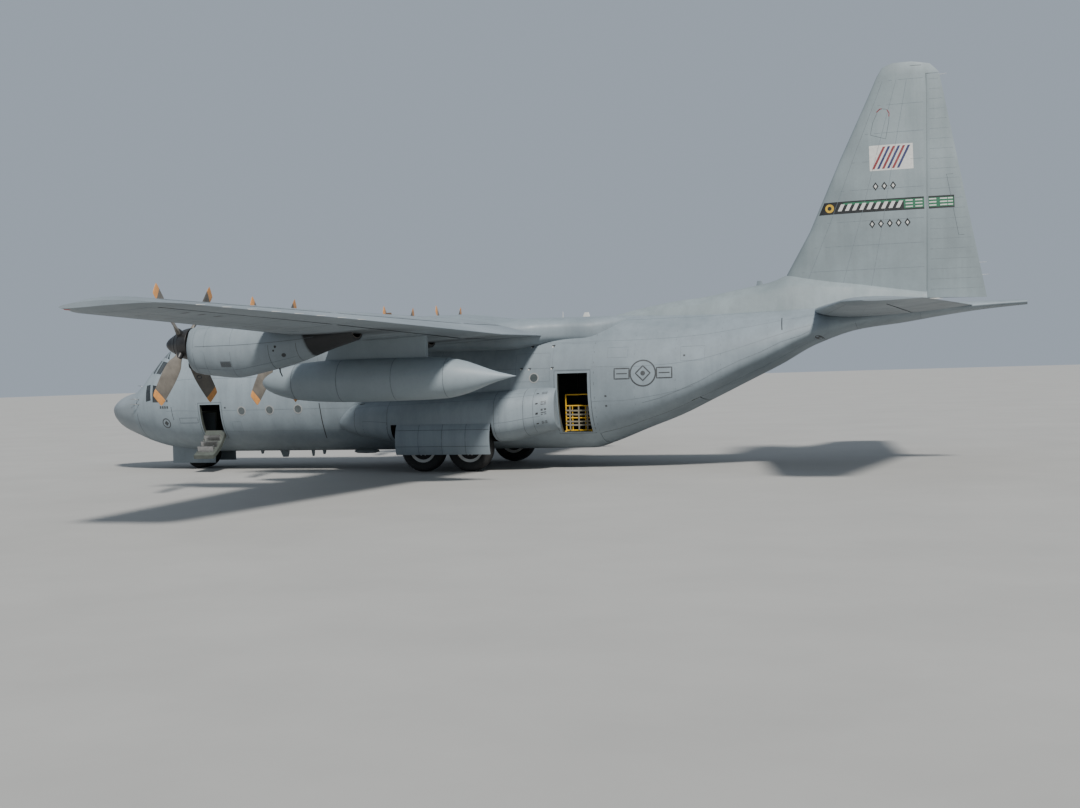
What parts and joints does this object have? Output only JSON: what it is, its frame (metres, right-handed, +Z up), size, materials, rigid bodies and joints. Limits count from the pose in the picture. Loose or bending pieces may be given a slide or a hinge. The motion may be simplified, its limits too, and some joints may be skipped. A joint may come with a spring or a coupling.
{
  "type": "1:2 scale model of a four-engine turboprop military transport plane",
  "caption": "High-wing military transport plane with turboprop engines, wing tanks, rear cargo ramp, open crew door and bulged wheel fairings, as a half-size model",
  "frame": {"origin": "on the ground, below the middle of the whole aeroplane's bounding box, with the wheels standing at z = 0", "axes": "+X towards the nose, +Y to port (wing tip to wing tip, the longest extent), +Z up"},
  "size_m": [14.895, 20.205, 5.7525],
  "materials": {
    "grey_paint": "matt grey paint with light weathering",
    "interior_paint": "dark grey cabin paint, scuffed",
    "cockpit_glass": "dark tinted windscreen",
    "guard_yellow": "yellow paint, worn",
    "engine_metal": "bare metal",
    "propeller_composite": "grey-brown blades with orange tips and a black spinner",
    "gear_steel": "white gloss paint over steel",
    "tyre": "black rubber with white painted hubs"
  },
  "bodies": {
    "airframe": {"wing_outer_left": "grey_paint", "wing_outer_right": "grey_paint", "wing_center": "grey_paint", "wing_fairing": "grey_paint", "tailplane": "grey_paint", "fin": "grey_paint", "tail_cone": "grey_paint", "fuselage_rear": "grey_paint", "fuselage_center": "grey_paint", "fuselage_forward": "grey_paint", "nose_gear_bay": "grey_paint", "fuselage_nose": "grey_paint", "nose_radome": "grey_paint", "cargo_floor": "interior_paint", "flight_deck": "interior_paint", "flight_deck_glazing": "cockpit_glass", "paratroop_door_left": "grey_paint", "paratroop_door_right": "grey_paint", "doorway_guard": "guard_yellow", "nacelle_1": "grey_paint", "engine_1": "engine_metal", "nacelle_2": "grey_paint", "engine_2": "engine_metal", "nacelle_3": "grey_paint", "engine_3": "engine_metal", "nacelle_4": "grey_paint", "engine_4": "engine_metal", "external_tank_left": "grey_paint", "main_gear_fairing_left": "grey_paint", "main_gear_door_left": "grey_paint", "main_gear_left": "gear_steel", "external_tank_right": "grey_paint", "main_gear_fairing_right": "grey_paint", "main_gear_door_right": "grey_paint", "main_gear_right": "gear_steel", "nose_strut": "gear_steel"},
    "propeller_1": {"propeller_1": "propeller_composite"},
    "propeller_2": {"propeller_2": "propeller_composite"},
    "propeller_3": {"propeller_3": "propeller_composite"},
    "propeller_4": {"propeller_4": "propeller_composite"},
    "main_wheel_left_1": {"main_wheel_left_1": "tyre"},
    "main_wheel_left_2": {"main_wheel_left_2": "tyre"},
    "main_wheel_right_1": {"main_wheel_right_1": "tyre"},
    "main_wheel_right_2": {"main_wheel_right_2": "tyre"},
    "nose_fork": {"nose_fork": "gear_steel"},
    "nose_wheels": {"nose_wheels": "tyre"},
    "crew_door": {"crew_door": "grey_paint"},
    "cargo_ramp": {"cargo_ramp": "grey_paint"},
    "cargo_door": {"cargo_door": "grey_paint"},
    "flap_inboard_left": {"flap_inboard_left": "grey_paint"},
    "flap_outboard_left": {"flap_outboard_left": "grey_paint"},
    "flap_inboard_right": {"flap_inboard_right": "grey_paint"},
    "flap_outboard_right": {"flap_outboard_right": "grey_paint"},
    "aileron_left": {"aileron_left": "grey_paint"},
    "aileron_right": {"aileron_right": "grey_paint"},
    "elevator_left": {"elevator_left": "grey_paint"},
    "elevator_right": {"elevator_right": "grey_paint"},
    "rudder": {"rudder": "grey_paint"}
  },
  "joints": [
    {"name": "propeller_1_spin", "type": "hinge", "parent": "airframe", "child": "propeller_1", "pos_m": [2.9975, 5.08, 2], "axis": [1, 0, 0], "continuous": true},
    {"name": "propeller_2_spin", "type": "hinge", "parent": "airframe", "child": "propeller_2", "pos_m": [2.9975, 2.465, 1.915], "axis": [1, 0, 0], "continuous": true},
    {"name": "propeller_3_spin", "type": "hinge", "parent": "airframe", "child": "propeller_3", "pos_m": [2.9975, -2.465, 1.915], "axis": [1, 0, 0], "continuous": true},
    {"name": "propeller_4_spin", "type": "hinge", "parent": "airframe", "child": "propeller_4", "pos_m": [2.9975, -5.08, 2], "axis": [1, 0, 0], "continuous": true},
    {"name": "main_wheel_left_1_spin", "type": "hinge", "parent": "airframe", "child": "main_wheel_left_1", "pos_m": [1.1925, 1.0875, 0.355], "axis": [0, 1, 0], "continuous": true},
    {"name": "main_wheel_left_2_spin", "type": "hinge", "parent": "airframe", "child": "main_wheel_left_2", "pos_m": [0.4325, 1.0875, 0.355], "axis": [0, 1, 0], "continuous": true},
    {"name": "main_wheel_right_1_spin", "type": "hinge", "parent": "airframe", "child": "main_wheel_right_1", "pos_m": [1.1925, -1.0875, 0.355], "axis": [0, 1, 0], "continuous": true},
    {"name": "main_wheel_right_2_spin", "type": "hinge", "parent": "airframe", "child": "main_wheel_right_2", "pos_m": [0.4325, -1.0875, 0.355], "axis": [0, 1, 0], "continuous": true},
    {"name": "nose_steering", "type": "hinge", "parent": "airframe", "child": "nose_fork", "pos_m": [5.6975, 0, 0.5], "axis": [0, 0, 1], "range_deg": [-60, 60]},
    {"name": "nose_wheels_spin", "type": "hinge", "parent": "nose_fork", "child": "nose_wheels", "pos_m": [5.6975, 0, 0.2475], "axis": [0, 1, 0], "continuous": true},
    {"name": "crew_door_hinge", "type": "hinge", "parent": "airframe", "child": "crew_door", "pos_m": [4.95, 0.8725, 0.576], "axis": [1, 0, 0], "range_deg": [0, 108]},
    {"name": "cargo_ramp_hinge", "type": "hinge", "parent": "airframe", "child": "cargo_ramp", "pos_m": [-1.525, 0, 0.405], "axis": [0, -1, 0], "range_deg": [0, 34]},
    {"name": "cargo_door_hinge", "type": "hinge", "parent": "airframe", "child": "cargo_door", "pos_m": [-4.7025, 0, 1.85], "axis": [0, -1, 0], "range_deg": [0, 20]},
    {"name": "flap_inboard_left_hinge", "type": "hinge", "parent": "airframe", "child": "flap_inboard_left", "pos_m": [-0.10333, 1.95, 2.08543], "axis": [0, -1, 0], "range_deg": [0, 36]},
    {"name": "flap_outboard_left_hinge", "type": "hinge", "parent": "airframe", "child": "flap_outboard_left", "pos_m": [0.04598, 4.5925, 2.14247], "axis": [-0.0828, -0.9961, -0.0315], "range_deg": [0, 36]},
    {"name": "flap_inboard_right_hinge", "type": "hinge", "parent": "airframe", "child": "flap_inboard_right", "pos_m": [-0.10333, -1.95, 2.08543], "axis": [0, -1, 0], "range_deg": [0, 36]},
    {"name": "flap_outboard_right_hinge", "type": "hinge", "parent": "airframe", "child": "flap_outboard_right", "pos_m": [0.04598, -4.5925, 2.14247], "axis": [0.0828, -0.9961, 0.0315], "range_deg": [0, 36]},
    {"name": "aileron_left_hinge", "type": "hinge", "parent": "airframe", "child": "aileron_left", "pos_m": [0.3401, 8.125, 2.24747], "axis": [0.0831, 0.9962, 0.0276], "range_deg": [-15, 25]},
    {"name": "aileron_right_hinge", "type": "hinge", "parent": "airframe", "child": "aileron_right", "pos_m": [0.3401, -8.125, 2.24747], "axis": [-0.0831, 0.9962, -0.0276], "range_deg": [-15, 25]},
    {"name": "elevator_left_hinge", "type": "hinge", "parent": "airframe", "child": "elevator_left", "pos_m": [-5.88856, 2.0875, 2.225], "axis": [0.045, 0.999, 0], "range_deg": [-20, 40]},
    {"name": "elevator_right_hinge", "type": "hinge", "parent": "airframe", "child": "elevator_right", "pos_m": [-5.88856, -2.0875, 2.225], "axis": [-0.045, 0.999, 0], "range_deg": [-20, 40]},
    {"name": "rudder_hinge", "type": "hinge", "parent": "airframe", "child": "rudder", "pos_m": [-6.20724, 0, 3.955], "axis": [-0.028, 0, 0.9996], "range_deg": [-35, 35]}
  ],
  "couplings": [
    {"joint": "elevator_right_hinge", "follows": "elevator_left_hinge", "ratio": 1},
    {"joint": "flap_outboard_left_hinge", "follows": "flap_inboard_left_hinge", "ratio": 1},
    {"joint": "flap_inboard_right_hinge", "follows": "flap_inboard_left_hinge", "ratio": 1},
    {"joint": "flap_outboard_right_hinge", "follows": "flap_inboard_left_hinge", "ratio": 1}
  ]
}
